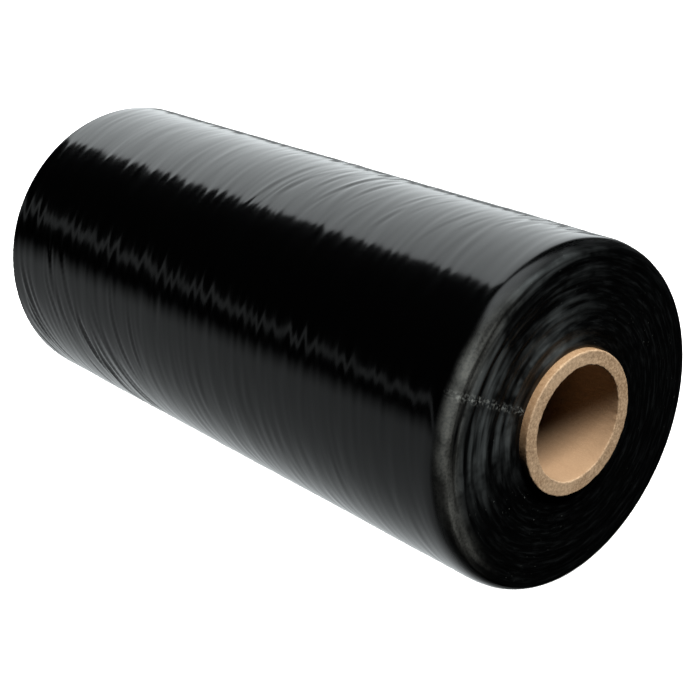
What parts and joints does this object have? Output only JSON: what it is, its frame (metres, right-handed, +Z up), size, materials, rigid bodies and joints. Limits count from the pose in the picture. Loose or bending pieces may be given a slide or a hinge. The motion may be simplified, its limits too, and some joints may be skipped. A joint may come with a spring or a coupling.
{
  "type": "stretch wrap roll",
  "caption": "Full machine roll of black stretch film wound on a thick cardboard core that stands a little proud of both ends, lying on its side.",
  "frame": {"origin": "on the surface that the roll lies on, at the middle of the roll's footprint", "axes": "+X along the roll's axis towards its squarer-shouldered end, +Z up, out of the surface it lies on"},
  "size_m": [0.51, 0.232, 0.2314],
  "materials": {
    "film": "gloss black film, satin ringed ends",
    "cardboard": "plain kraft cardboard"
  },
  "bodies": {
    "root": {"film_roll": "film", "core": "cardboard"}
  },
  "joints": []
}
